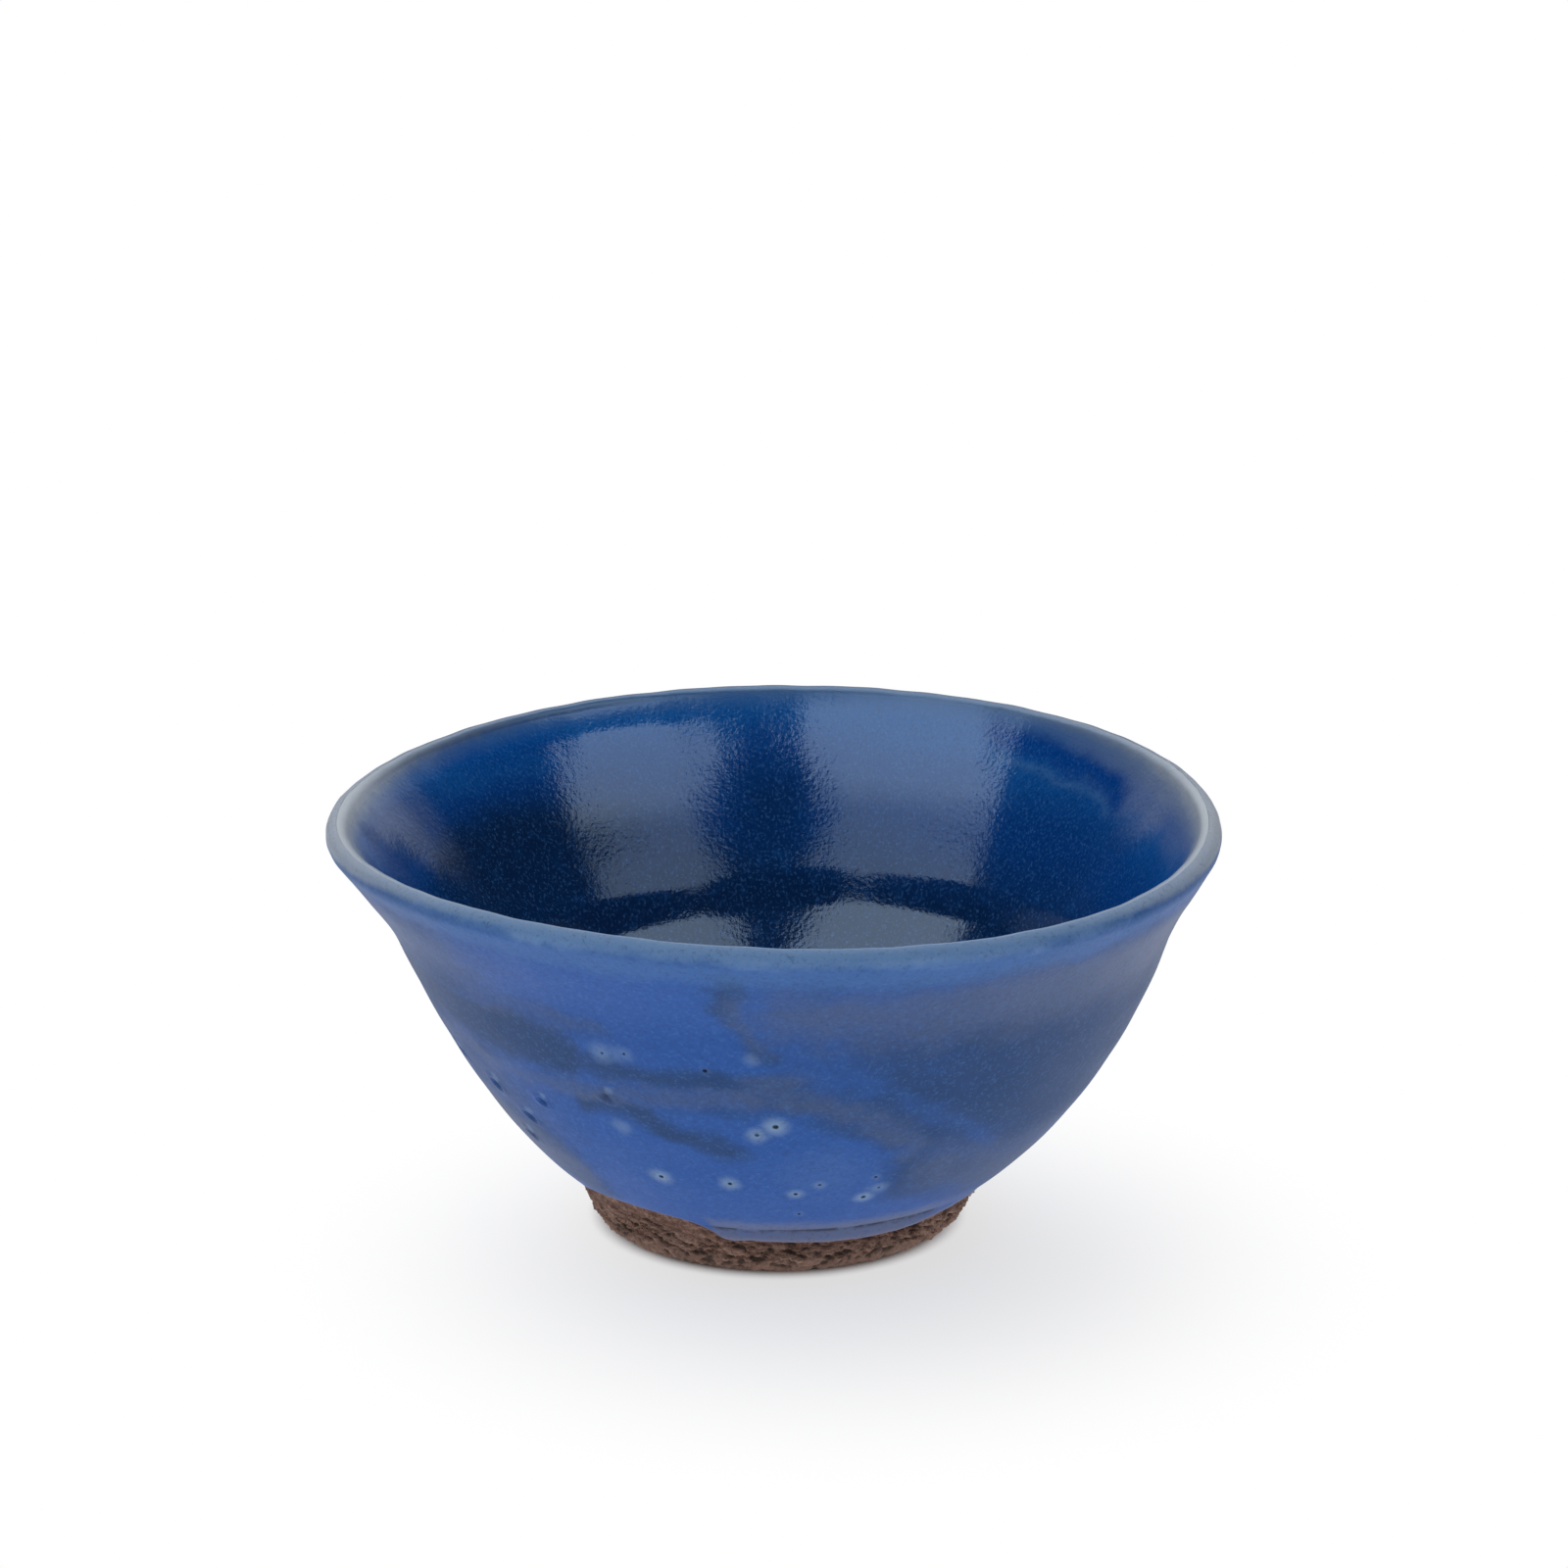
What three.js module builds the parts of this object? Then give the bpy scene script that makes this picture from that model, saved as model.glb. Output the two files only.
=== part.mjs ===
// A thrown stoneware tea cup with a flared lip, turned foot and two glaze coats.
// Millimetres, +Z up. The origin is the middle of the standing face; -Y is the front.
import * as THREE from "three";

const { degToRad, smoothstep, lerp, euclideanModulo } = THREE.MathUtils;

// Finished sizes, over the glaze
const rimDiameter = 80;
const cupHeight = 37.5;
const lipThickness = 2;

// Clay wall. Leans are measured from upright.
const neckInset = 6.1; // the neck stands this far in from the rim
const neckDrop = 9.6; // and this far below the crest
const springLean = degToRad(50); // where the wall leaves the foot
const neckLean = degToRad(22.5);
const lipLean = degToRad(39);
const innerLean = degToRad(34); // inside of the lip
const heelHeight = 13; // below this the inside rounds off into the floor
const heelThickness = 3.2;
const floorThickness = 3.4;
const heelEase = 0.3; // how far the wall's line and the floor's flat carry into the round
const floorEase = 0.5;

// Turned foot
const footHeight = 5.9;
const footTopDiameter = 38;
const footBaseDiameter = 32.2;
const footRingWidth = 4.2;
const creaseRadius = 1.2; // hollow round between foot and wall
const edgeRadius = 1.1; // worn edges of the standing face
const recessDepth = 2.8;
const recessDraft = degToRad(25);
const recessRadius = 1.2;

// Glaze coats
const bond = 0.05; // between clay and coat
const seam = 0.1; // between the two coats on the crest
const lipCoat = 0.25; // the coat breaks thin over the lip
const lipBreak = 4; // and is full this far below it
const wallCoat = 0.5;
const poolCoat = 1.2; // liner glaze gathers on the floor
const poolHeight = 7;

// End of the outer coat. On one side it stops thin at the crease, on the other it runs over it
// and ends in a thick roll.
const stopReach = 0.1; // past the crease, down the foot
const stopCoat = 0.3;
const runReach = 1.7;
const runCoat = 0.62;
const runStart = degToRad(249);
const runRise = degToRad(7);
const runSpan = degToRad(100);
const runFade = degToRad(80);
const endEase = 1.6; // over this length the wall's coat becomes the end's
const endRipple = 0.06;
const endRipples = 7;

// What the hand left: the belly drifts to +X, the rim is out of round and out of level.
const bellyDrift = 0.85;
const rimOval = -0.9; // two-lobed, wide front to back
const rimTrefoil = -0.45; // three-lobed
const rimRock = 0.3; // height of the two-lobed wave
const rimRockTurn = degToRad(73);
const rimRipple = 0.15; // height of the three-lobed wave

// Fineness
const turns = 56;
const creaseSteps = 3;
const bellySteps = 8;
const flareSteps = 4;
const lipSteps = 3; // on each side of the crest
const innerSteps = 8;
const floorSteps = 7;
const roundSteps = 3;

const rimRadius = rimDiameter / 2;
const clayLipRadius = lipThickness / 2 - lipCoat - bond;
const lipCentre = new THREE.Vector2(rimRadius - lipThickness / 2, cupHeight - lipThickness / 2);
const floorHeight = recessDepth + floorThickness;

// Direction in the section that leans outwards from upright by an angle.
const leaning = (lean) => new THREE.Vector2(Math.sin(lean), Math.cos(lean));

const step = (point, direction, distance) => point.clone().addScaledVector(direction, distance);

// Smooth run from one point to another, leaving and arriving at the given leans.
function sweep(from, leanFrom, to, leanTo) {
  const reach = from.distanceTo(to) / 3;
  const leave = step(from, leaning(leanFrom), reach);
  const arrive = step(to, leaning(leanTo), -reach);
  return new THREE.CubicBezierCurve(from, leave, arrive, to);
}

// Round of a given radius that replaces the corner between two straight sides.
function roundCorner(before, corner, after, radius) {
  const back = before.clone().sub(corner).normalize();
  const ahead = after.clone().sub(corner).normalize();
  const halfAngle = Math.acos(THREE.MathUtils.clamp(back.dot(ahead), -1, 1)) / 2;
  const reach = radius / Math.tan(halfAngle);
  return new THREE.QuadraticBezierCurve(step(corner, back, reach), corner, step(corner, ahead, reach));
}

// Stations on a curve: a point of the clay's face and the way out of the clay, which lies on the left.
function stationsOn(curve, steps, first = 0, last = steps) {
  const stations = [];
  for (let i = first; i <= last; i++) {
    const tangent = curve.getTangent(i / steps);
    stations.push({
      point: curve.getPoint(i / steps),
      normal: new THREE.Vector2(tangent.y, -tangent.x),
    });
  }
  return stations;
}

function stationsOnLip(fromAngle, toAngle) {
  const stations = [];
  for (let i = 0; i <= lipSteps; i++) {
    const angle = lerp(fromAngle, toAngle, i / lipSteps);
    const normal = new THREE.Vector2(Math.cos(angle), Math.sin(angle));
    stations.push({ point: step(lipCentre, normal, clayLipRadius), normal });
  }
  return stations;
}

// Outside of the clay, from the foot up to the crest
const footBase = new THREE.Vector2(footBaseDiameter / 2, 0);
const footTop = new THREE.Vector2(footTopDiameter / 2, footHeight);
const neck = new THREE.Vector2(rimRadius - neckInset, cupHeight - neckDrop);
const crease = roundCorner(footBase, footTop, step(footTop, leaning(springLean), 1), creaseRadius);
const creaseLow = crease.v0;
const creaseHigh = crease.v2;
const lipOuter = step(lipCentre, leaning(lipLean + Math.PI / 2), clayLipRadius);
const halfSeam = Math.asin(seam / 2 / clayLipRadius);

const wall = [
  ...stationsOn(sweep(creaseHigh, springLean, neck, neckLean), bellySteps, 1),
  ...stationsOn(sweep(neck, neckLean, lipOuter, lipLean), flareSteps, 1),
];
const outside = [
  ...stationsOn(crease, creaseSteps),
  ...wall,
  ...stationsOnLip(-lipLean, Math.PI / 2 - halfSeam).slice(1),
];

// Inside of the clay, from the crest down to the middle of the floor
const besideHeel = wall.find(({ point }) => point.y >= heelHeight);
const heel = {
  point: step(besideHeel.point, besideHeel.normal, -heelThickness),
  normal: besideHeel.normal.clone().negate(),
};
const heelLean = Math.atan2(heel.normal.y, -heel.normal.x);
const lipInner = step(lipCentre, leaning(innerLean - Math.PI / 2), clayLipRadius);
const innerWall = sweep(lipInner, innerLean + Math.PI, heel.point, heelLean + Math.PI);
const floorMiddle = new THREE.Vector2(0, floorHeight);
const floorReach = heel.point.distanceTo(floorMiddle);
const downHeel = new THREE.Vector2(-heel.normal.y, heel.normal.x);
const floor = new THREE.CubicBezierCurve(
  heel.point,
  step(heel.point, downHeel, heelEase * floorReach),
  new THREE.Vector2(floorEase * floorReach, floorHeight),
  floorMiddle,
);
const inside = [
  ...stationsOnLip(Math.PI / 2 + halfSeam, Math.PI - innerLean),
  ...stationsOn(innerWall, innerSteps, 1),
  ...stationsOn(floor, floorSteps, 1, floorSteps - 1),
  { point: floorMiddle, normal: new THREE.Vector2(0, 1) },
];

// Underside and foot, from the middle of the recess out to the crease
const ringInner = new THREE.Vector2(footBase.x - footRingWidth, 0);
const recessCorner = new THREE.Vector2(ringInner.x - recessDepth * Math.tan(recessDraft), recessDepth);
const recessMiddle = new THREE.Vector2(0, recessDepth);
const underside = [
  recessMiddle,
  ...roundCorner(recessMiddle, recessCorner, ringInner, recessRadius).getPoints(roundSteps),
  ...roundCorner(recessCorner, ringInner, footBase, edgeRadius).getPoints(roundSteps),
  ...roundCorner(ringInner, footBase, footTop, edgeRadius).getPoints(roundSteps),
];

// Places a point of the section on the cup, with what the hand left in it.
function thrown(point, angle) {
  const rise = point.y / cupHeight;
  const atRim = (rise ** 3 * point.x) / rimRadius;
  const outOfRound = rimOval * Math.cos(2 * angle) + rimTrefoil * Math.cos(3 * angle);
  const outOfLevel = rimRock * Math.cos(2 * (angle - rimRockTurn)) + rimRipple * Math.cos(3 * angle);
  const radius = point.x + atRim * outOfRound;
  return new THREE.Vector3(
    radius * Math.cos(angle) + bellyDrift * 4 * rise * (1 - rise),
    radius * Math.sin(angle),
    point.y + atRim * outOfLevel,
  );
}

// Turns a section, which may change with the angle, into a closed body.
function turned(sectionAt) {
  const pointCount = sectionAt(0).length;
  const geometry = new THREE.LatheGeometry(sectionAt(0), turns);
  const position = geometry.getAttribute("position");
  for (let i = 0; i <= turns; i++) {
    const angle = ((i % turns) / turns) * 2 * Math.PI;
    sectionAt(angle).forEach((point, j) => {
      const place = thrown(point, angle);
      position.setXYZ(i * pointCount + j, place.x, place.y, place.z);
    });
  }
  geometry.computeVertexNormals();
  return geometry;
}

const claySection = [...underside, ...outside.map((s) => s.point), ...inside.map((s) => s.point)];

// Thickness that both coats share: thin over the lip, full below it.
const coatAt = (height) => lerp(lipCoat, wallCoat, smoothstep(lipCentre.y - height, 0, lipBreak));

const onClay = ({ point, normal }) => step(point, normal, bond);
const onCoat = ({ point, normal }, thickness) => step(point, normal, bond + thickness);

function linerThickness({ point }) {
  const pooled = 1 - smoothstep(point.y - floorHeight, 0, poolHeight);
  return lerp(coatAt(point.y), poolCoat, pooled);
}

const linerSection = [
  ...inside.map(onClay).reverse(),
  ...inside.map((station) => onCoat(station, linerThickness(station))),
];

// Share of the run, from 0 where the outer coat stops at the crease to 1 where it runs over it.
function runAt(angle) {
  const along = euclideanModulo(angle - runStart, 2 * Math.PI);
  const rise = smoothstep(along, 0, runRise);
  const fade = 1 - smoothstep(along, runSpan, runSpan + runFade);
  return rise * fade;
}

const footSideDown = footBase.clone().sub(footTop).normalize();
const footSideOut = new THREE.Vector2(-footSideDown.y, footSideDown.x);
const onFootSide = (distance) => ({ point: step(creaseLow, footSideDown, distance), normal: footSideOut });

function outerSection(angle) {
  const share = runAt(angle);
  const ripple = endRipple * (1 + Math.sin(endRipples * angle));
  const reach = lerp(stopReach, runReach, share) + ripple;
  const endCoat = lerp(stopCoat, runCoat, share);
  const nose = onFootSide(reach);
  const shoulder = onFootSide(reach / 2);
  const face = outside.map((station) => {
    const fromEnd = reach + station.point.distanceTo(creaseLow);
    return onCoat(station, lerp(endCoat, coatAt(station.point.y), smoothstep(fromEnd, 0, endEase)));
  });
  return [
    onClay(nose),
    onCoat(nose, endCoat / 2),
    onCoat(shoulder, endCoat),
    ...face,
    ...outside.map(onClay).reverse(),
    onClay(nose),
  ];
}

function piece(name, geometry, color, roughness) {
  const mesh = new THREE.Mesh(geometry, new THREE.MeshStandardMaterial({ color, roughness, metalness: 0 }));
  mesh.name = name;
  return mesh;
}

const cup = new THREE.Group();
cup.add(
  piece("stoneware_body", turned(() => claySection), 0x55453f, 0.9),
  piece("liner_glaze", turned(() => linerSection), 0x12336b, 0.18),
  piece("outer_glaze", turned(outerSection), 0x3d629b, 0.35),
);

export default cup;
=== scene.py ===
import math

import bmesh
import bpy
import numpy as np
from mathutils import Matrix, Vector, noise


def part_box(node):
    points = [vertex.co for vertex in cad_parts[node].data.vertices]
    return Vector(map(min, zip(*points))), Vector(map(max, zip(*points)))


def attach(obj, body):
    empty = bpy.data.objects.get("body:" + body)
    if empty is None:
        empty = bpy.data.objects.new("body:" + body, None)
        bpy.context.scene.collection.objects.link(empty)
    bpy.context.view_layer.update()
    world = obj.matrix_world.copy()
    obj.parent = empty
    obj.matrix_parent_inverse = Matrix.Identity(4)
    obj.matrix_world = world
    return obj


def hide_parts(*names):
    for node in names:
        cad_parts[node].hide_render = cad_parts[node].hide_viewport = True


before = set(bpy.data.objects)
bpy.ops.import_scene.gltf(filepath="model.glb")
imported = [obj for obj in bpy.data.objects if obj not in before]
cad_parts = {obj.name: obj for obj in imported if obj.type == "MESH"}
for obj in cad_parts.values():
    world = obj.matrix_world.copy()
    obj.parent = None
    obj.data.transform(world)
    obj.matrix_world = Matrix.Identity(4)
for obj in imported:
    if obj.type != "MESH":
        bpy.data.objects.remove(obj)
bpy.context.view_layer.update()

scene = bpy.context.scene
scene.view_settings.view_transform = "Standard"
mm = 0.001


# the thrown form, as the solids have it
form = {
    "lipThickness": 2 * mm,
    "neckInset": 6.1 * mm,
    "neckDrop": 9.6 * mm,
    "springLean": math.radians(50),
    "neckLean": math.radians(22.5),
    "lipLean": math.radians(39),
    "innerLean": math.radians(34),
    "heelHeight": 13.3 * mm,
    "heelThickness": 3.2 * mm,
    "floorHeight": 6.2 * mm,
    "heelEase": 0.3,
    "floorEase": 0.5,
    "footHeight": 5.9 * mm,
    "footTopRadius": 19 * mm,
    "footBaseRadius": 16.1 * mm,
    "footRingWidth": 4.2 * mm,
    "creaseLength": 0.5 * mm,
    "edgeRound": 0.7 * mm,
    "baseRound": 1.75 * mm,  # outer edge of the standing face, worn further
    "recessDepth": 2.8 * mm,
    "recessDraft": math.radians(25),
    "recessRound": 0.9 * mm,
    "lipCoat": 0.3 * mm,
    "wallCoat": 0.55 * mm,
    "poolCoat": 1.25 * mm,
    "poolHeight": 7 * mm,
    "lipBreak": 4 * mm,
}

# what the hand left: drift of the belly, rim out of round and out of level
hand = {
    "drift": 0.85 * mm,
    "oval": -0.9 * mm,
    "trefoil": -0.45 * mm,
    "rock": 0.3 * mm,
    "rockTurn": math.radians(73),
    "ripple": 0.15 * mm,
    "nick": 0.018 * mm,  # small unevenness along the crest
    "nickWaves": ((19, 1), (31, 2.6), (53, 0)),  # how many round the rim, and where they start
    "crestShare": 0.97,  # of the rim's lift, because the crest lies a little inside the rim
}


# angles all the way round, in radians
def roundTurn(count):
    return np.linspace(0, 2 * math.pi, count, endpoint=False)


def rimLift(angle):
    return hand["rock"] * np.cos(2 * (angle - hand["rockTurn"])) + hand["ripple"] * np.cos(3 * angle)


coatLow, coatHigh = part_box("outer_glaze")
rimRadius = (coatHigh[0] - coatLow[0] + coatHigh[1] - coatLow[1]) / 4
cupHeight = coatHigh[2] - hand["crestShare"] * rimLift(roundTurn(720)).max()


def handThrown(radius, angle, height):
    rise = height / cupHeight
    atRim = rise ** 3 * radius / rimRadius
    out = radius + atRim * (hand["oval"] * np.cos(2 * angle) + hand["trefoil"] * np.cos(3 * angle))
    x = out * np.cos(angle) + hand["drift"] * 4 * rise * (1 - rise)
    uneven = sum(np.sin(waves * angle + start) for waves, start in hand["nickWaves"])
    z = height + atRim * (rimLift(angle) + hand["nick"] * uneven)
    return np.stack([x, out * np.sin(angle), z], -1)


def smooth(value, low, high):
    t = np.clip((value - low) / (high - low), 0, 1)
    return t * t * (3 - 2 * t)


def mix(a, b, share):
    return a + (b - a) * share


# 1 between a rise and a fall, each over its own span
def band(value, rise, fall):
    return smooth(value, *rise) * (1 - smooth(value, *fall))


def hump(value, middle, width):
    return np.exp(-((value - middle) / width) ** 2)


def leaning(lean):
    return np.array([math.sin(lean), math.cos(lean)])


def bezier(a, b, c, d, count=60):
    t = np.linspace(0, 1, count)[:, None]
    return (1 - t) ** 3 * a + 3 * (1 - t) ** 2 * t * b + 3 * (1 - t) * t ** 2 * c + t ** 3 * d


def sweep(start, leanStart, end, leanEnd):
    reach = np.linalg.norm(end - start) / 3
    return bezier(start, start + reach * leaning(leanStart), end - reach * leaning(leanEnd), end)


def cornerRound(before, corner, after, reach, count=10):
    back = corner + reach * (before - corner) / np.linalg.norm(before - corner)
    ahead = corner + reach * (after - corner) / np.linalg.norm(after - corner)
    return bezier(back, back + (corner - back) * 2 / 3, ahead + (corner - ahead) * 2 / 3, ahead, count)


# a run of the clay's section: points, way out of the clay, and length along it
class Outline:
    def __init__(self, parts, zeroAt=0):
        points = [parts[0]]
        for part in parts[1:]:
            points.append(part[1:] if np.allclose(part[0], points[-1][-1]) else part)
        self.points = np.concatenate(points)
        steps = np.linalg.norm(np.diff(self.points, axis=0), axis=1)
        self.length = np.concatenate([[0], np.cumsum(steps)]) - zeroAt
        tangent = np.gradient(self.points, self.length, axis=0)
        tangent /= np.linalg.norm(tangent, axis=1)[:, None]
        self.normals = np.stack([tangent[:, 1], -tangent[:, 0]], 1)

    def at(self, length, offset=0):
        columns = (*self.points.T, *self.normals.T)
        r, z, nr, nz = (np.interp(length, self.length, column) for column in columns)
        size = np.hypot(nr, nz)
        return r + offset * nr / size, z + offset * nz / size


lipCentre = np.array([rimRadius, cupHeight]) - form["lipThickness"] / 2
clayLip = form["lipThickness"] / 2 - form["lipCoat"]
neck = np.array([rimRadius - form["neckInset"], cupHeight - form["neckDrop"]])
footTop = np.array([form["footTopRadius"], form["footHeight"]])
footBase = np.array([form["footBaseRadius"], 0])
ringInner = footBase - [form["footRingWidth"], 0]
recessCorner = ringInner + [-form["recessDepth"] * math.tan(form["recessDraft"]), form["recessDepth"]]
recessMiddle = np.array([0, form["recessDepth"]])


def lipArc(start, end):
    angle = np.linspace(start, end, 24)
    return lipCentre + clayLip * np.stack([np.cos(angle), np.sin(angle)], 1)


# outside of the clay from the standing face to the crest; lengths are counted from the crease
baseEdge = cornerRound(ringInner, footBase, footTop, form["baseRound"])
crease = cornerRound(footBase, footTop, footTop + leaning(form["springLean"]), form["creaseLength"])
belly = sweep(crease[-1], form["springLean"], neck, form["neckLean"])
lipOuter = lipCentre + clayLip * leaning(form["lipLean"] + math.pi / 2)
flare = sweep(neck, form["neckLean"], lipOuter, form["lipLean"])
footSide = np.array([baseEdge[-1], crease[0]])
sideLength = np.linalg.norm(footSide[1] - footSide[0])
outside = Outline([footSide, crease, belly, flare, lipArc(-form["lipLean"], math.pi / 2)], sideLength)

# inside of the clay from the crest to the middle of the floor
wall = Outline([belly, flare])
beside = int(np.argmax(wall.points[:, 1] >= form["heelHeight"]))
heelNormal = -wall.normals[beside]
heel = wall.points[beside] + form["heelThickness"] * heelNormal
heelLean = math.atan2(heelNormal[1], -heelNormal[0])
lipInner = lipCentre + clayLip * leaning(form["innerLean"] - math.pi / 2)
innerWall = sweep(lipInner, form["innerLean"] + math.pi, heel, heelLean + math.pi)
floorMiddle = np.array([0, form["floorHeight"]])
floorReach = np.linalg.norm(heel - floorMiddle)
floorCurve = bezier(
    heel,
    heel + form["heelEase"] * floorReach * np.array([-heelNormal[1], heelNormal[0]]),
    np.array([form["floorEase"] * floorReach, form["floorHeight"]]),
    floorMiddle,
)
inside = Outline([lipArc(math.pi / 2, math.pi - form["innerLean"]), innerWall, floorCurve])
print("form: rim %.1f mm across, %.1f mm high" % (2000 * rimRadius, 1000 * cupHeight))


# thickness of a coat that is thin over the lip and full below it
def coatOn(height):
    return mix(form["lipCoat"], form["wallCoat"], smooth(lipCentre[1] - height, 0, form["lipBreak"]))


seedStep = 17.3  # shifts the noise, so that each seed has its own


# noise of a given grain on many points, from -1 to 1
def grain(points, size, seed):
    return np.array([noise.noise(Vector(p)) for p in points / size + seed * seedStep])


# values made uneven by noise: amount, size in mm and seed of each layer
def roughened(values, points, *layers):
    for amount, size, seed in layers:
        values = values + amount * grain(points, size * mm, seed)
    return values


# slow waves and throwing rings on the face of a glaze
def thrownWaves(points, length, angle, glaze):
    slowSeed, fineSeed, ringSeed = glaze["waveSeeds"]
    waves = glaze["swell"] * grain(points, glaze["swellSize"], slowSeed)
    waves += glaze["fineSwell"] * grain(points, glaze["fineSwellSize"], fineSeed)
    rings = np.sin(2 * math.pi * length / glaze["ringPitch"] + angle).reshape(-1)
    return waves + glaze["ring"] * rings * (0.5 + 0.5 * grain(points, glaze["ringBreak"], ringSeed))


# closed body from a grid of columns round the cup and rows along the section, with the heights of the
# middle points that close it, if it has any
def turnedMesh(name, grid, poles=()):
    columns, rows = grid.shape[:2]
    index = np.arange(columns * rows).reshape(columns, rows)
    ahead = np.roll(index, -1, axis=0)
    if poles:
        corners = [index[:, :-1], ahead[:, :-1], ahead[:, 1:], index[:, 1:]]
        faces = np.stack(corners, -1).reshape(-1, 4).tolist()
        first = columns * rows
        faces += np.stack([np.full(columns, first), ahead[:, 0], index[:, 0]], -1).tolist()
        faces += np.stack([np.full(columns, first + 1), index[:, -1], ahead[:, -1]], -1).tolist()
    else:
        up = np.roll(index, -1, axis=1)
        aheadUp = np.roll(ahead, -1, axis=1)
        faces = np.stack([index, ahead, aheadUp, up], -1).reshape(-1, 4).tolist()
    points = np.concatenate([grid.reshape(-1, 3), *[[handThrown(0, 0, height)] for height in poles]])
    mesh = bpy.data.meshes.new(name)
    mesh.from_pydata(points.tolist(), [], faces)
    mesh.update()
    piece = bpy.data.objects.new(name, mesh)
    scene.collection.objects.link(piece)
    return piece


def coordinates(piece):
    flat = np.empty(len(piece.data.vertices) * 3)
    piece.data.vertices.foreach_get("co", flat)
    return flat.reshape(-1, 3)


def mark(piece, name, values):
    layer = piece.data.attributes.new(name, "FLOAT", "POINT")
    layer.data.foreach_set("value", np.asarray(values, dtype=np.float32))


def finishPiece(piece, node, material):
    piece.data.polygons.foreach_set("use_smooth", [True] * len(piece.data.polygons))
    piece.data.set_sharp_from_angle(angle=math.radians(60))
    piece.data.materials.append(material)
    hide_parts(node)
    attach(piece, "root")
    print(piece.name, len(piece.data.polygons), "faces")


def angleAndHeight(points):
    return np.degrees(np.arctan2(points[:, 1], points[:, 0])) % 360, points[:, 2] / mm


# a node's output, with sums written as plain Python
class Signal:
    def __init__(self, finish, socket):
        self.finish = finish
        self.socket = socket

    def sum(self, operation, first, second):
        return self.finish.node("ShaderNodeMath", {"operation": operation}, {0: first, 1: second})

    def __add__(self, other):
        return self.sum("ADD", self, other)

    def __radd__(self, other):
        return self.sum("ADD", other, self)

    def __sub__(self, other):
        return self.sum("SUBTRACT", self, other)

    def __rsub__(self, other):
        return self.sum("SUBTRACT", other, self)

    def __mul__(self, other):
        return self.sum("MULTIPLY", self, other)

    def __rmul__(self, other):
        return self.sum("MULTIPLY", other, self)


# short words for the shader's sockets
spoken = {
    "colour": "Base Color",
    "roughness": "Roughness",
    "ior": "IOR",
    "tint": "Specular Tint",
    "normal": "Normal",
}


# a material or world and the nodes in it
class Finish:
    def __init__(self, owner):
        owner.use_nodes = True
        self.owner = owner
        self.tree = owner.node_tree
        self.tree.nodes.clear()

    def node(self, kind, settings=None, inputs=None, out=0):
        node = self.tree.nodes.new(kind)
        for key, value in (settings or {}).items():
            setattr(node, key, value)
        for key, value in (inputs or {}).items():
            if isinstance(value, Signal):
                self.tree.links.new(value.socket, node.inputs[key])
            elif isinstance(value, tuple) and node.inputs[key].type == "RGBA":
                node.inputs[key].default_value = (*value, 1)
            else:
                node.inputs[key].default_value = value
        return Signal(self, node.outputs[out]) if node.outputs else None

    def place(self):
        return self.node("ShaderNodeTexCoord", out="Object")

    def attribute(self, name):
        return self.node("ShaderNodeAttribute", {"attribute_name": name}, out="Fac")

    def noise(self, place, size, detail, rough, seed):
        return self.node(
            "ShaderNodeTexNoise",
            {"noise_dimensions": "4D"},
            {"Vector": place, "W": seed, "Scale": 1 / size, "Detail": detail, "Roughness": rough},
        )

    def stretch(self, place, scale):
        return self.node("ShaderNodeMapping", {}, {"Vector": place, "Scale": scale})

    def step(self, value, low, high):
        return self.node(
            "ShaderNodeMapRange",
            {"interpolation_type": "SMOOTHSTEP"},
            {"Value": value, "From Min": low, "From Max": high},
        )

    def blend(self, share, first, second):
        return self.node("ShaderNodeMix", {"data_type": "RGBA"}, {0: share, 6: first, 7: second}, out=2)

    def most(self, first, second):
        return self.node("ShaderNodeMath", {"operation": "MAXIMUM"}, {0: first, 1: second})

    def distance(self, place, middle):
        ends = {0: place, 1: middle}
        return self.node("ShaderNodeVectorMath", {"operation": "DISTANCE"}, ends, out="Value")

    def bump(self, height, depth):
        return self.node("ShaderNodeBump", {}, {"Height": height, "Distance": depth, "Strength": 1.0})

    def shader(self, **sockets):
        named = {spoken[key]: value for key, value in sockets.items()}
        return self.node("ShaderNodeBsdfPrincipled", {}, named)

    def surface(self, shader):
        self.node("ShaderNodeOutputMaterial", {}, {"Surface": shader})
        return self.owner


# camera as the picture was taken: distance and height angle to a point on the cup's axis
view = {
    "distance": 450 * mm,
    "elevation": math.radians(19.13),
    "aimHeight": 18 * mm,
    "frame": 1600,
    "focalPixels": 5167,
    "aimX": 792.9,  # where that point lies in the frame
    "aimY": 1039.8,
}


def addCamera():
    data = bpy.data.cameras.new("camera")
    data.sensor_width = 36
    data.lens = data.sensor_width * view["focalPixels"] / view["frame"]
    data.clip_start = 0.01
    camera = bpy.data.objects.new("camera", data)
    pitch = view["elevation"] - math.atan((view["aimY"] - view["frame"] / 2) / view["focalPixels"])
    yaw = math.atan((view["frame"] / 2 - view["aimX"]) / view["focalPixels"])
    camera.location = (
        0,
        -view["distance"] * math.cos(view["elevation"]),
        view["aimHeight"] + view["distance"] * math.sin(view["elevation"]),
    )
    camera.rotation_euler = (math.pi / 2 - pitch, 0, -yaw)
    scene.collection.objects.link(camera)
    scene.camera = camera


addCamera()
print("camera set")


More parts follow.
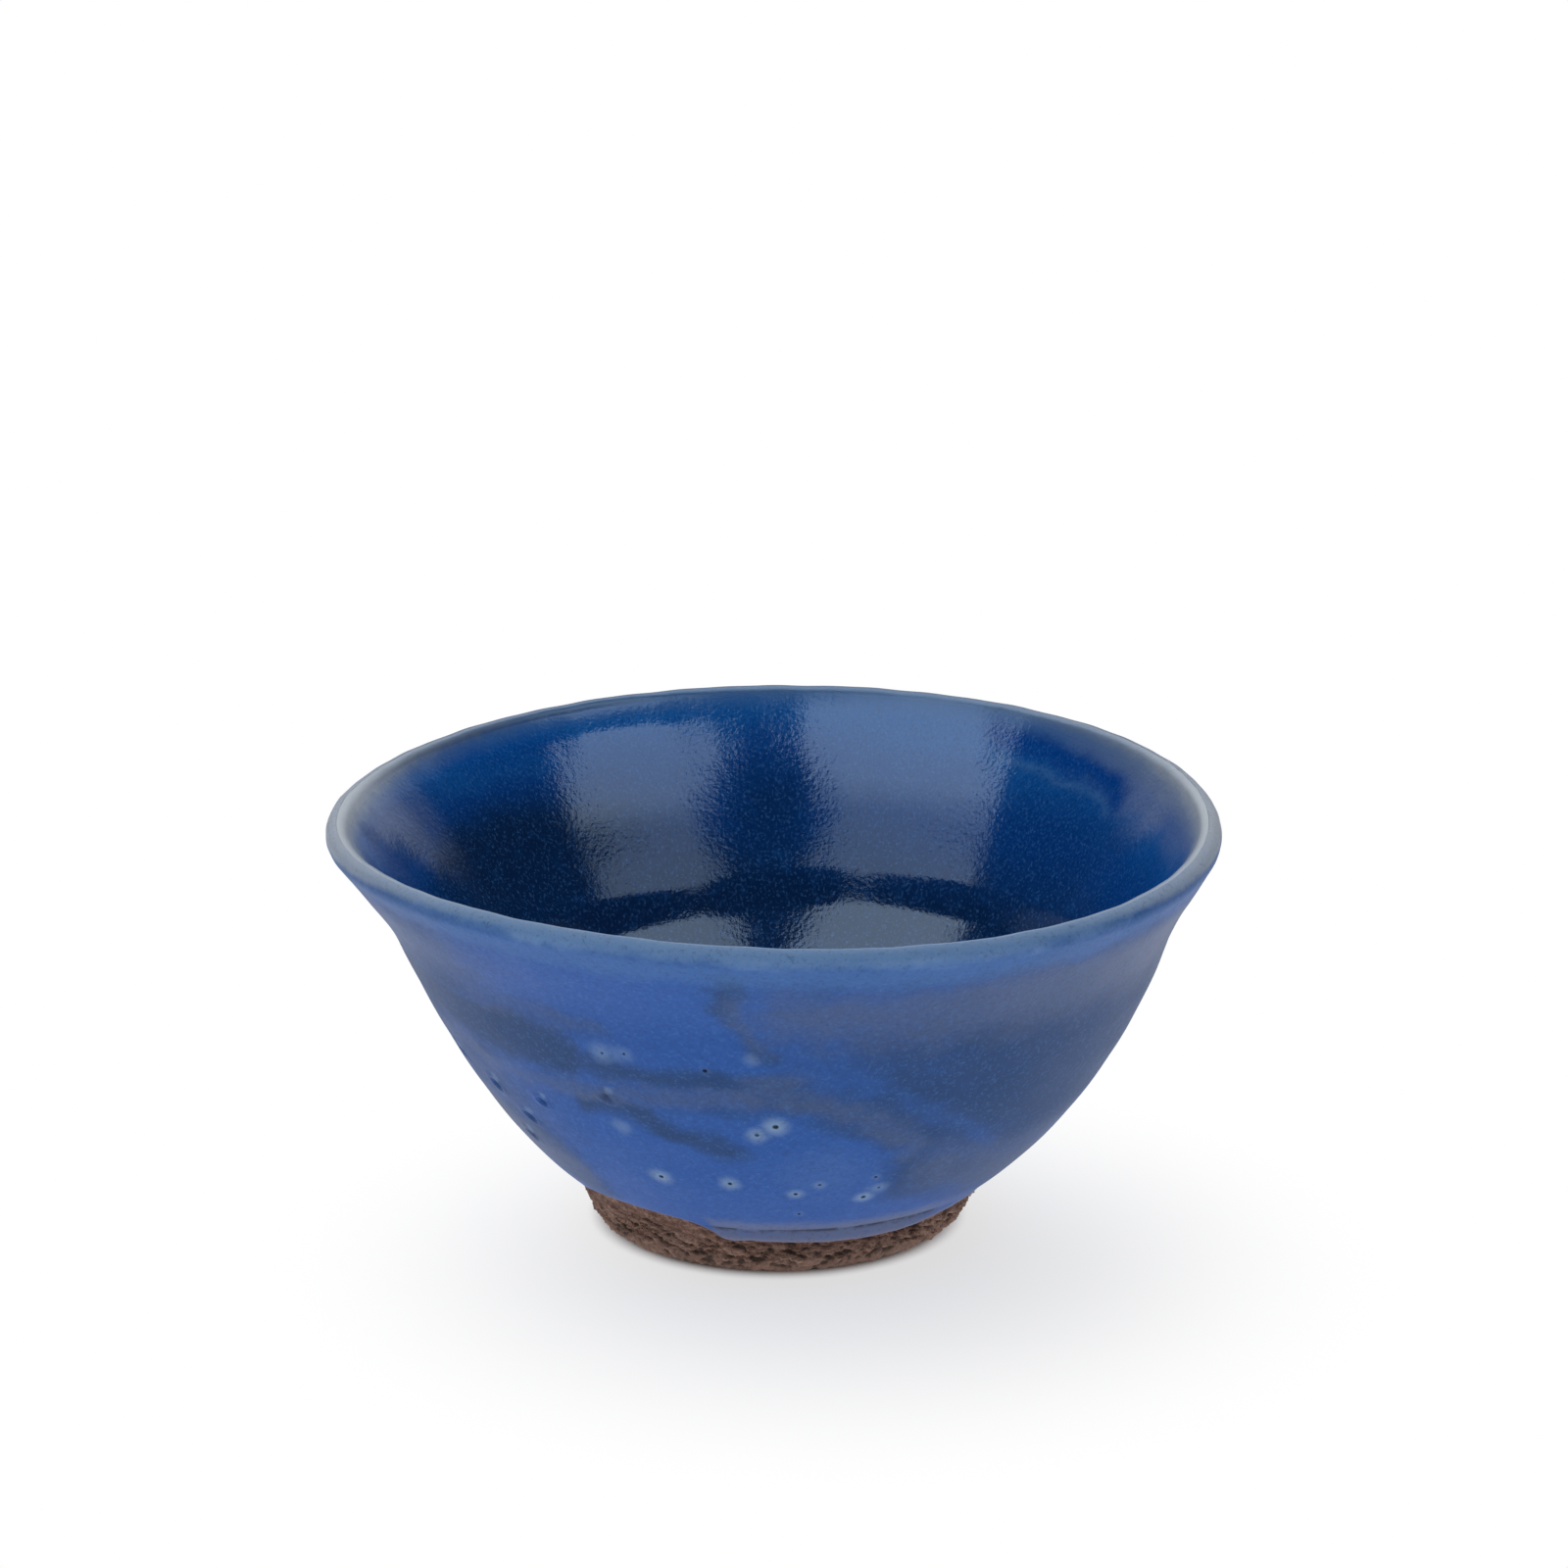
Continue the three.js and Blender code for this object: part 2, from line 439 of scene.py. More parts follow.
# bare clay: torn crepe on the turned foot
clay = {
    "columns": 640,
    "rows": {
        "recess": 24, "round": 6, "recessSide": 9, "standing": 16,
        "edge": 8, "side": 46, "wall": 22, "inside": 24,
    },
    "poleGap": 0.4 * mm,  # radius of the first row
    "closeTo": 0.9 * mm,  # rows are close up to here above the crease
    "wideFrom": 1.4 * mm,  # and wide from here on
    "tearDepth": 0.62 * mm,
    "tearSize": 0.74 * mm,
    "tearSlant": 1.8,  # radians over a height as large as the foot's radius
    "tearSquash": 1.6,
    "fineDepth": 0.17 * mm,
    "fineSize": 0.4 * mm,
    "bareSpan": (0.05, 1.1),  # mm below the glaze line
    "underShare": 0.25,  # how torn the standing face is
    "underSpan": (-1.2 * mm, -0.2 * mm),  # from the foot's edge
    "wornFrom": (195, 210),  # degrees: rubbed smooth under the glaze at the front left
    "wornTo": (240, 256),
    "wornDrop": (1.4, 3.2),  # mm below the glaze line
    "wornShare": 0.8,
    "flashDrop": 2.4,  # mm
    "body": (0.31, 0.178, 0.132),
    # dark colour painted into the hollows as painted shade
    "paintedPitShade": (0.045, 0.028, 0.022),
    # light colour painted on the raised grains as painted highlight
    "paintedRidgeLight": (0.47, 0.315, 0.25),
    "flash": (0.125, 0.052, 0.036),
    "ash": (0.27, 0.17, 0.136),
    "grit": 0.5 * mm,
    "ior": 1.45,
}

# drop of the outer glaze below the crease, in mm, by the angle round the cup
glazeLine = {
    0: 0.35, 15: 0.5, 40: 0.7, 75: 0.35, 105: 0.7, 130: 0.5, 160: 0.4, 185: 0.7, 203: 0.5, 215: -0.4,
    228: -1.1, 238: -0.8, 246: -0.15, 251: 0.45, 254: 1.3, 262: 1.2, 274: 1.4, 292: 1.6, 303: 1.3, 316: 0.9,
    326: 0.8, 338: 0.55, 348: 0.4,
}
lineEdge = {
    "step": 0.25,  # degrees
    "softness": 1.25,  # degrees over which the corners of that list are eased
    "wander": 0.12,  # mm
    "wanderTurns": 3.1,
    "fine": 0.1,  # mm
    "fineTurns": 11,
}


# noise round a ring, so that it closes on itself
def ringNoise(degrees, turns, seed):
    ring = [(turns * math.cos(a), turns * math.sin(a), seed) for a in np.radians(degrees)]
    return np.array([noise.noise(Vector(place)) for place in ring])


def drawLine(degrees):
    drop = np.interp(degrees, list(glazeLine), list(glazeLine.values()), period=360)
    half = 16
    kernel = np.exp(-0.5 * (np.arange(-half, half + 1) * lineEdge["step"] / lineEdge["softness"]) ** 2)
    drop = np.convolve(np.pad(drop, half, mode="wrap"), kernel / kernel.sum(), "valid")
    drop += lineEdge["wander"] * ringNoise(degrees, lineEdge["wanderTurns"], 4)
    drop += lineEdge["fine"] * ringNoise(degrees, lineEdge["fineTurns"], 9)
    return drop * mm


lineTurns = np.arange(0, 360, lineEdge["step"])
lineDrop = drawLine(lineTurns)


# length, from the crease, at which the outer glaze ends
def glazeEnd(angle):
    return -np.interp(np.degrees(angle) % 360, lineTurns, lineDrop, period=360)


# depth of the torn skin, on a slanted and squashed copy of the place
def tornSkin(points):
    x, y, z = points.T
    turn = clay["tearSlant"] * z / form["footBaseRadius"]
    slantX = x * np.cos(turn) - y * np.sin(turn)
    slantY = x * np.sin(turn) + y * np.cos(turn)
    slanted = np.stack([slantX, slantY, z * clay["tearSquash"]], 1)
    broad = grain(slanted, clay["tearSize"] * 1.7, 1) + 0.8 * grain(slanted, clay["tearSize"] * 0.8, 2)
    ridged = 1 - np.abs(grain(slanted, clay["tearSize"], 3)) * 2.4
    return np.clip(0.5 - 0.5 * broad - 0.4 * ridged, 0, 1.4)


# section of the clay from the recess out, up and in again: the points underneath, all the points, and the
# length along the outside that each counts as, which decides whether glaze covers it
def claySection():
    rows = clay["rows"]
    flatEnd = recessCorner - [form["recessRound"], 0]
    recess = np.linspace([clay["poleGap"], form["recessDepth"]], flatEnd, rows["recess"])
    recessEdge = cornerRound(recessMiddle, recessCorner, ringInner, form["recessRound"], rows["round"])[1:]
    innerEdge = cornerRound(recessCorner, ringInner, footBase, form["edgeRound"], rows["round"])
    recessSide = np.linspace(recessEdge[-1], innerEdge[0], rows["recessSide"])[1:-1]
    standing = np.linspace(innerEdge[-1], baseEdge[0], rows["standing"])[1:-1]
    outerEdge = cornerRound(ringInner, footBase, footTop, form["baseRound"], rows["edge"])
    under = np.concatenate([recess, recessEdge, recessSide, innerEdge, standing, outerEdge])
    side = np.linspace(-sideLength, clay["closeTo"], rows["side"])[1:]
    up = np.linspace(clay["wideFrom"], outside.length[-1], rows["wall"])
    down = np.linspace(0, inside.length[-1], rows["inside"])[1:-1]
    points = np.concatenate([under.T, outside.at(side), outside.at(up), inside.at(down)], axis=1).T
    coated = np.full(len(up) + len(down), outside.length[-1])
    return under, points, np.concatenate([np.full(len(under), -sideLength), side, coated])


def buildClay():
    angle = roundTurn(clay["columns"])[:, None]
    under, section, along = claySection()
    grid = handThrown(section[None, :, 0], angle, section[None, :, 1])

    # how torn each place is: none under the coats, full a little below the glaze line
    below = ((glazeEnd(angle) - along[None]) / mm).reshape(-1)
    turned = np.broadcast_to(np.degrees(angle), grid.shape[:2]).reshape(-1)
    worn = band(turned, clay["wornFrom"], clay["wornTo"]) * (1 - smooth(below, *clay["wornDrop"]))
    onSide = np.ones(len(section))
    onSide[:len(under)] = mix(clay["underShare"], 1, smooth(under[:, 0] - footBase[0], *clay["underSpan"]))
    weight = smooth(below, *clay["bareSpan"]) * np.tile(onSide, len(angle)) * (1 - clay["wornShare"] * worn)

    points = grid.reshape(-1, 3)
    tear = tornSkin(points)
    fine = grain(points, clay["fineSize"], 4)
    cut = weight * (clay["tearDepth"] * tear + clay["fineDepth"] * fine)
    outR, outZ = Outline([section]).normals.T
    way = np.stack([outR * np.cos(angle), outR * np.sin(angle), np.broadcast_to(outZ, grid.shape[:2])], -1)
    points = points - way.reshape(-1, 3) * cut[:, None]
    points[:, 2] = np.maximum(points[:, 2], 0)
    poles = (form["recessDepth"], form["floorHeight"])
    piece = turnedMesh("stonewareClay", points.reshape(grid.shape), poles)
    near = np.maximum(1 - smooth(below, 0, clay["flashDrop"]), clay["wornShare"] * worn)
    # how deep the skin is torn, which the finish turns into painted shade and painted highlight
    mark(piece, "tear", np.append(weight * (tear + 0.25 * fine), [0, 0]))
    mark(piece, "nearGlaze", np.append(near, [0, 0]))
    return piece


def clayFinish():
    f = Finish(bpy.data.materials.new("bareStoneware"))
    place = f.place()
    tear = f.attribute("tear")
    near = f.attribute("nearGlaze")
    mottle = f.noise(place, 3.2 * mm, 4, 0.6, 1)
    speck = f.noise(place, 0.5 * mm, 3, 0.6, 2)
    dust = f.noise(place, 0.17 * mm, 2, 0.6, 3)
    colour = f.blend(f.step(mottle, 0.35, 0.68), clay["body"], clay["ash"])
    colour = f.blend(near * f.step(mottle, 0.2, 0.5), colour, clay["flash"])
    # painted shade in the torn hollows, darkest where the skin is torn deepest
    colour = f.blend(f.step(tear, 0.24, 0.62) * 0.88, colour, clay["paintedPitShade"])
    # painted highlight on the raised, untorn skin and on the bump's raised grains
    colour = f.blend((1 - f.step(tear, 0.05, 0.3)) * f.step(speck, 0.45, 0.65) * 0.5, colour, clay["paintedRidgeLight"])
    colour = f.blend(f.step(speck, 0.6, 0.72) * f.step(dust, 0.5, 0.66) * 0.4, colour, clay["paintedRidgeLight"])
    # painted shade in the hollows of the bump, and in flecks just under the glaze's lower end
    colour = f.blend((1 - f.step(speck, 0.31, 0.4)) * 0.7, colour, clay["paintedPitShade"])
    colour = f.blend(f.step(near, 0.9, 1) * f.step(speck, 0.42, 0.56) * 0.85, colour, clay["paintedPitShade"])
    rough = 0.78 + 0.2 * f.step(mottle, 0.3, 0.7)
    normal = f.bump(speck * 0.7 + dust * 0.3, clay["grit"])
    return f.surface(f.shader(colour=colour, roughness=rough, normal=normal, ior=clay["ior"]))


clayPiece = buildClay()
finishPiece(clayPiece, "stoneware_body", clayFinish())


# glaze worn thin over the lip, on both coats: colours of the crest by where it stands towards the camera,
# paler in front as painted highlight, darker behind as painted shade and pale grey at the sides as painted
# sheen
lipWearAndLight = {
    "front": (0.15, 0.28, 0.5),
    "back": (0.05, 0.135, 0.29),
    "side": (0.49, 0.54, 0.59),
    "frontSpan": (-0.3, 0.5),  # shares of the way to the front
    "facingSpan": (0.45, 0.9),
}


# where each place stands towards the camera, which sets the painted light on the lip
def markLip(piece, turn, points):
    mark(piece, "belowRim", (cupHeight + rimLift(turn) - points[:, 2]) / mm)
    mark(piece, "sideways", np.cos(turn) ** 4)
    mark(piece, "frontward", smooth(-np.sin(turn), *lipWearAndLight["frontSpan"]))
    mark(piece, "facing", smooth(-np.sin(turn), *lipWearAndLight["facingSpan"]))


def crestColour(f):
    along = f.blend(f.attribute("frontward"), lipWearAndLight["back"], lipWearAndLight["front"])
    return f.blend(f.attribute("sideways"), along, lipWearAndLight["side"])


mmPerDegree = 0.5  # round the belly
streakEdge = (0.1, 2.2)  # shares of its half width over which a streak fades
placeEdge = (0.2, 1)  # and a round place, by its half sizes


# degrees from one angle to another, from -180 to 180
def turnFrom(start, angle):
    return (angle - start + 180) % 360 - 180


# weight of listed streaks: points of angle and height, half width in mm, weight on the middle line
def streakWeight(angle, height, lines):
    weight = np.zeros(len(angle))
    for points, half, strength in lines:
        best = np.full(len(angle), np.inf)
        for (a0, h0), (a1, h1) in zip(points, points[1:]):
            du, dv = (a1 - a0) * mmPerDegree, h1 - h0
            u = turnFrom(a0, angle) * mmPerDegree
            v = height - h0
            t = np.clip((u * du + v * dv) / (du * du + dv * dv), 0, 1)
            best = np.minimum(best, np.hypot(u - t * du, v - t * dv))
        weight = np.maximum(weight, strength * (1 - smooth(best / half, *streakEdge)))
    return weight


# weight of round places: middle angle and height, half sizes in degrees and mm, weight
def placeWeight(angle, height, places):
    weight = np.zeros(len(angle))
    for a, h, wide, tall, strength in places:
        apart = np.hypot(turnFrom(a, angle) / wide, (height - h) / tall)
        weight = np.maximum(weight, strength * (1 - smooth(apart, *placeEdge)))
    return weight


# 1 on the left half of the cup, fading out over the front and the back
def leftHalf(degrees):
    return band(degrees, (75, 115), (230, 300))


# glaze inside: deep, glossy, thin and paler over the lip, with pale places at the sides as painted
# reflection, places of painted shade, and streaks
wornPlaces = [(168, 37.4, 34, 3, 0.4), (200, 35.2, 28, 5, 0.6), (14, 36.8, 50, 6.3, 1.15)]
# places darkened as painted shade
shadedPlaces = [(145, 28, 42, 6.5, 1), (168, 33, 22, 4.5, 0.6), (178, 34.3, 8, 1.3, 0.7), (91, 31, 11, 7, 0.45)]
clearStreaks = [
    ([(57, 35.5), (46, 35.2), (36, 34.6), (28, 33.7)], 0.85, 1.1),
    ([(146, 36.2), (135, 35.4), (125, 34.8)], 1.0, 0.7),
]
paleStreaks = [([(55, 33.7), (45, 33.3), (35, 32.8), (29, 32.3)], 0.3, 0.8)]
liner = {
    "columns": 400,
    "rows": 150,
    "lipRows": 28,  # closer rows
    "lipLength": 4 * mm,
    "backRows": 14,
    "gap": 0.02 * mm,  # off the clay
    "poleGap": 0.5 * mm,  # from the last row to the middle of the floor
    "wallCoat": 0.95 * mm,
    "flareLength": 10 * mm,
    "waist": 0.22 * mm,  # from here down to the groove the wall is a little steeper
    "waistTop": 29.6 * mm,
    "waistFall": 0.8 * mm,  # lower on the left
    "waistSpan": (-1.2 * mm, 6 * mm),
    "groove": 0.5 * mm,  # below this band the wall stands further out
    "grooveHeight": 21.5 * mm,
    "grooveFall": 1.2 * mm,
    "grooveWidth": 2.8 * mm,
    "grooveEase": 0.35,
    "heelFade": (8 * mm, 20 * mm),  # waist and groove fade out towards the floor
    "backFlare": 0.3 * mm,  # flares more along the lip at the back left
    "backFlareSpan": (0.9 * mm, 3.6 * mm),
    "backFlareFrom": (92, 118),  # degrees
    "backFlareTo": (140, 175),
    "swell": 0.045 * mm,
    "swellSize": 9 * mm,
    "fineSwell": 0.012 * mm,
    "fineSwellSize": 2.3 * mm,
    "ring": 0.02 * mm,
    "ringPitch": 6.5 * mm,
    "ringBreak": 14 * mm,
    "waveSeeds": (5, 31, 6),
    "wavesTo": (0, 0, 60 * mm),  # waves rise towards this point above the mouth
    "calmSpan": (0.2 * mm, 3 * mm),
    "glossAbove": (27.6, 31),  # mm: glossier above and below the steep wall
    "glossBelow": (20, 21.5),
    "rightTurn": math.radians(20),  # middle of the right side, which is painted paler as painted light
    "rightReach": 20 * mm,
    "peel": 0.04 * mm,
    "lip": (0.03, 0.13, 0.38),
    # paler colour of the lip at the sides, a painted sheen
    "sideLipSheen": (0.2, 0.28, 0.45),
    # pale colour of the places at the sides, a painted reflection
    "worn": (0.12, 0.2, 0.46),
    "clear": (0.0, 0.07, 0.36),
    "thin": (0.006, 0.125, 0.46),
    "middle": (0.002, 0.066, 0.31),
    # darkest colour, partly deeper glaze and partly painted shade
    "deepAndShaded": (0.003, 0.026, 0.1),
    "needle": (0.06, 0.19, 0.48),
    "tint": (0.5, 0.66, 0.84),
    "dullIor": 1.55,
    "brightIor": 1.8,
}


# thickness by the length from the crest and the angle, less what the wall stands further out
def linerThickness(length, angle):
    height = inside.at(length)[1]
    pooled = 1 - smooth(height - form["floorHeight"], 0, form["poolHeight"])
    fromLip = np.clip(length / liner["flareLength"], 0, 1)
    wallCoat = mix(form["lipCoat"], liner["wallCoat"], 1 - (1 - fromLip) ** 2)
    thickness = mix(wallCoat, form["poolCoat"], pooled)

    turn = np.degrees(angle)
    grooveAt = liner["grooveHeight"] - liner["grooveFall"] * leftHalf(turn)
    share = np.clip((grooveAt - height) / liner["grooveWidth"] + 0.5, 0, 1)
    stepOut = liner["groove"] * mix(share, smooth(share, 0, 1), liner["grooveEase"])
    waistTop = liner["waistTop"] - liner["waistFall"] * leftHalf(turn)
    stepOut = stepOut + liner["waist"] * smooth(waistTop - height, *liner["waistSpan"])
    stepOut = stepOut * smooth(height, *liner["heelFade"])
    start, end = liner["backFlareSpan"]
    backLeft = band(turn, liner["backFlareFrom"], liner["backFlareTo"])
    flared = liner["backFlare"] * backLeft * band(length, (0, start), (start, end))
    return thickness - stepOut - flared


def buildLiner():
    angle = roundTurn(liner["columns"])[:, None]
    floorEnd = inside.length[-1] - liner["poleGap"]
    lipRows = np.linspace(0, liner["lipLength"], liner["lipRows"])[:-1]
    length = np.concatenate([lipRows, np.linspace(liner["lipLength"], floorEnd, liner["rows"])])[None]
    along = np.broadcast_to(length, (len(angle), length.size))
    faceR, faceZ = inside.at(along, linerThickness(length, angle))
    face = handThrown(faceR, angle, faceZ)

    # waves, none on the lip
    points = face.reshape(-1, 3)
    waves = thrownWaves(points, length, angle, liner) * smooth(along, *liner["calmSpan"]).reshape(-1)
    fromAbove = points - np.array(liner["wavesTo"])
    points = points - fromAbove / np.linalg.norm(fromAbove, axis=1)[:, None] * waves[:, None]
    backR, backZ = inside.at(np.linspace(floorEnd, 0, liner["backRows"]), liner["gap"])
    back = handThrown(backR[None], angle, backZ[None])
    poles = (form["floorHeight"], form["floorHeight"] + form["poolCoat"])
    piece = turnedMesh("linerGlaze", np.concatenate([back, points.reshape(face.shape)], 1), poles)
    markLiner(piece)
    return piece


def markLiner(piece):
    points = coordinates(piece)
    turn = np.arctan2(points[:, 1], points[:, 0])
    markLip(piece, turn, points)
    degrees, height = angleAndHeight(points)
    uneven = roughened(height, points, (0.7, 3, 41), (0.35, 1, 42))
    mark(piece, "worn", placeWeight(degrees, uneven, wornPlaces))
    mark(piece, "paintedShade", placeWeight(degrees, uneven, shadedPlaces))
    mark(piece, "clear", streakWeight(degrees, uneven, clearStreaks))
    mark(piece, "thinned", streakWeight(degrees, uneven, paleStreaks))
    uneven = roughened(height, points, (0.25, 1.2, 43), (0.15, 0.5, 44))
    above = smooth(uneven + leftHalf(degrees), *liner["glossAbove"])
    mark(piece, "gloss", above + 1 - smooth(uneven, *liner["glossBelow"]))
    # how far towards the right a place lies, which the finish paints lighter as painted light
    fromMiddle = smooth(np.hypot(points[:, 0], points[:, 1]), 0, liner["rightReach"])
    mark(piece, "toRight", np.cos(turn - liner["rightTurn"]) * fromMiddle)


def linerFinish():
    f = Finish(bpy.data.materials.new("cobaltLinerGlaze"))
    place = f.place()
    below = f.attribute("belowRim")
    wander = f.noise(place, 8 * mm, 3, 0.55, 4)
    mottle = f.noise(place, 1.3 * mm, 4, 0.65, 5)
    peel = f.noise(place, 0.45 * mm, 2, 0.6, 10)
    needles = f.noise(f.stretch(place, (1, 1, 0.7)), 0.25 * mm, 2, 0.65, 6)

    # darker down the wall, partly deeper glaze and partly painted shade inside the cup, and less so on the
    # right, where it is painted lighter
    depth = below + 4 * (wander - 0.5) - 1.5 * f.step(f.attribute("toRight"), 0.2, 0.95)
    # darker still in the places of painted shade
    depth = depth + 9 * f.attribute("paintedShade")
    colour = f.blend(f.step(depth, 0.5, 8), liner["thin"], liner["middle"])
    colour = f.blend(f.step(depth, 6, 17), colour, liner["deepAndShaded"])
    colour = f.blend(f.step(mottle, 0.5, 0.8) * 0.25, colour, liner["thin"])
    # pale places at the sides of the mouth: painted reflection, which also widens the pale lip band
    worn = f.attribute("worn")
    colour = f.blend(f.step(worn + 0.5 * (mottle - 0.5), 0.1, 0.95) * 0.85, colour, liner["worn"])
    colour = f.blend(f.attribute("clear") * 0.9, colour, liner["clear"])
    colour = f.blend(f.attribute("thinned") * (0.3 + 0.9 * mottle), colour, liner["needle"])
    colour = f.blend(f.step(needles, 0.5, 0.72) * 0.55, colour, liner["needle"])
    colour = f.blend((1 - f.step(needles, 0.3, 0.5)) * 0.45, colour, liner["deepAndShaded"])

    # paler over the lip, palest on the crest, and paler at the sides as painted sheen
    lip = 1 - f.step(below - 0.8 * worn + 0.8 * (mottle - 0.5), 0.0, 2.2)
    sideways = f.attribute("sideways")
    colour = f.blend(lip, colour, f.blend(sideways, liner["lip"], liner["sideLipSheen"]))
    # the crest, wider at the sides, in its painted highlight, painted shade and painted sheen
    crest = below * (1 - 0.55 * sideways) + 0.6 * (mottle - 0.5)
    colour = f.blend((1 - f.step(crest, 0.0, 0.8)) * 0.85, colour, crestColour(f))

    rough = 0.06 + 0.05 * mottle + 0.22 * lip
    normal = f.bump(needles * 0.3 + peel * 0.7, liner["peel"])
    look = {"colour": colour, "roughness": rough, "normal": normal, "tint": liner["tint"]}
    dull = f.shader(ior=liner["dullIor"], **look)
    bright = f.shader(ior=liner["brightIor"], **look)
    return f.surface(f.node("ShaderNodeMixShader", {}, {0: f.attribute("gloss"), 1: dull, 2: bright}))


linerPiece = buildLiner()
finishPiece(linerPiece, "liner_glaze", linerFinish())


# glaze outside: satin cobalt with slate streaks, pinholes and a rolled lower end
coat = {
    "columns": 520,
    "rows": 130,
    "endRows": 9,  # closer rows at the lower end
    "endShare": 0.0144,  # share of the coat's length that has them
    "backRows": 14,
    "gap": 0.01 * mm,  # off the clay
    "endCoat": 0.6 * mm,
    "stopCoat": 0.3 * mm,
    "endEase": 1.6 * mm,
    "noseShare": 0.75,  # length of the round end, by its thickness
    "runSpan": (0.6 * mm, 1.4 * mm),  # below the crease, where the glaze ran over it
    "creaseDip": 0.1 * mm,
    "creaseAt": 0.35 * mm,
    "creaseWidth": 0.28 * mm,
    "pitDepth": 0.3 * mm,
    "holeRim": 0.01 * mm,
    "dentRim": 0.06 * mm,
    "dentStretch": 1.7,  # how much longer than wide
    "dentSlope": -0.6,
    "dentShade": 0.6,
    # painted shade in the dents and painted highlight beside them
    "dentHighlight": 0.42,
    "pitReach": 2.2,  # radii that a hollow changes
    "leastReach": 1 * mm,
    "rimAt": 1.25,  # radii
    "rimWidth": 0.35,
    "swell": 0.055 * mm,
    "swellSize": 8 * mm,
    "fineSwell": 0.012 * mm,
    "fineSwellSize": 1.4 * mm,
    "ring": 0.04 * mm,
    "ringPitch": 5.6 * mm,
    "ringBreak": 13 * mm,
    "waveSeeds": (7, 8, 9),
    "calmEnd": (0.2 * mm, 2 * mm),
    "calmLip": (0.2 * mm, 3 * mm),
    "peel": 0.05 * mm,
    "lip": (0.17, 0.32, 0.6),
    "underLip": (0.055, 0.165, 0.43),
    # pale colour of the flanks, a painted sheen
    "sideSheen": (0.16, 0.205, 0.34),
    "cobalt": (0.016, 0.1, 0.415),
    "slate": (0.01, 0.057, 0.193),
    "mauve": (0.06, 0.105, 0.245),
    "pale": (0.06, 0.2, 0.55),
    "haloAndHighlight": (0.25, 0.39, 0.6),
    "run": (0.17, 0.2, 0.33),
    "thinEnd": (0.25, 0.23, 0.32),
    # near black of the pinhole cores, the dents' painted shade and the crease line
    "nearBlack": (0.012, 0.01, 0.012),
    "ior": 1.33,
}

# pinholes: angle in degrees, height in mm, radius of the hole, reach and strength of the pale halo
pinholes = [
    (269.7, 19, 0.25, 1.2, 1), (266.7, 18, 0.18, 1.0, 0.85), (247.2, 12, 0.2, 1.1, 0.9),
    (261, 12.1, 0.19, 1.0, 0.85), (273.5, 11, 0.18, 0.85, 0.8), (277.9, 12.1, 0.14, 0.8, 0.5),
    (287.4, 10.1, 0.22, 0.95, 0.95),
    (288.3, 12.6, 0.14, 0.6, 0.3), (289.8, 11.2, 0.13, 0.9, 0.5), (274.7, 8.2, 0.14, 0.5, 0.25),
    (243.9, 25.2, 0.12, 1.2, 0.5), (247.6, 25.5, 0.12, 0.9, 0.35), (259.6, 24.7, 0.2, 0.6, 0.1),
    (24, 11, 0.2, 1.0, 0.9), (38, 14.5, 0.16, 0.9, 0.6), (71, 9.6, 0.2, 1.1, 0.9),
    (96, 16.2, 0.2, 1.1, 0.95), (99.5, 15.4, 0.15, 0.8, 0.6), (128, 10.8, 0.2, 1.0, 0.85),
    (146, 12.6, 0.16, 0.9, 0.6), (171, 20.3, 0.14, 0.8, 0.5),
]

# pale spots with no hole: angle, height, reach, strength
paleSpots = [
    (266.5, 26, 1.1, 0.4), (243.3, 17.4, 1.4, 0.45), (246, 25.4, 1.6, 0.3), (268.3, 18.4, 1.4, 0.35),
    (289, 11, 1.5, 0.35), (279, 13.5, 6, 0.12), (84, 21, 1.4, 0.4), (115, 13, 3, 0.25),
]

# dents of burst bubbles: angle, height, radius
dents = [
    (212.8, 17.5, 0.6), (219.2, 15.2, 0.6), (213.2, 12.3, 0.6),
    (226.6, 17.9, 0.45), (242.1, 20.5, 0.5), (201.7, 19, 0.6),
]

# darker streaks
slateStreaks = [
    ([(200, 24), (211, 25.3), (219, 25), (231, 24.9), (239, 24.2),
      (246, 23.4), (257, 23.2), (265, 23.2), (273, 23)], 1.1, 0.78),
    ([(196, 25.6), (219, 25.2), (234, 24.9)], 2.1, 1.2),
    ([(225, 28.2), (238, 28.2), (244.5, 27.9)], 1.1, 0.5),
    ([(296, 13), (312, 11), (340, 9)], 2.6, 1.0),
    ([(203, 13.5), (222, 10)], 3, 1.2),
    ([(205, 20.8), (217, 20.4), (233, 20.7), (248, 20.9), (259, 21.6), (270, 21.4)], 1.1, 0.6),
    ([(236, 20), (242, 20.4), (247.5, 19.5), (253.5, 17.9), (258, 16.6), (263.5, 15.9)], 1.05, 0.9),
    ([(264, 34), (264, 31.2), (265.2, 29.2), (267, 27.6), (270, 26.3)], 0.9, 0.8),
    ([(268, 22.4), (276, 21.5), (284, 19.6), (291, 17)], 1.3, 0.85),
    ([(20, 26), (45, 23.5), (75, 22.5), (100, 20.5)], 1.5, 0.8),
    ([(95, 28.5), (120, 26), (150, 24.5), (180, 23)], 1.4, 0.75),
    ([(120, 17.5), (142, 16.5), (160, 14)], 1.3, 0.7),
]

